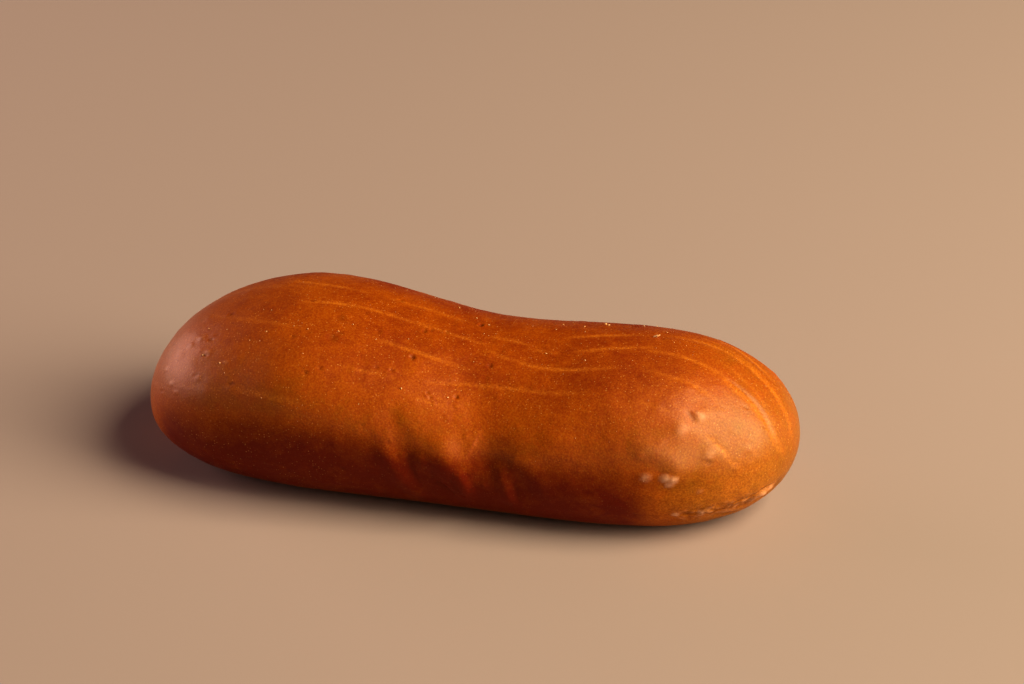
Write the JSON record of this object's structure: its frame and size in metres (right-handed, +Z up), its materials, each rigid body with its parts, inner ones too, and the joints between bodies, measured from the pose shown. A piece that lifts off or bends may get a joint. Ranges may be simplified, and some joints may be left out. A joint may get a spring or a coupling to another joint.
{
  "type": "bread roll",
  "caption": "Long smooth bread roll with a thin glossy brown crust, rounded lobes either side of a shallow creased waist, pale stretch marks and a flat base.",
  "frame": {"origin": "middle of the roll's length and width, on the plane of its flat base", "axes": "+X along the roll towards its blunt end, +Y from the front to the back, +Z up"},
  "size_m": [0.178, 0.0656, 0.0482],
  "materials": {
    "crust": "satin"
  },
  "bodies": {
    "root": {"roll": "crust"}
  },
  "joints": []
}
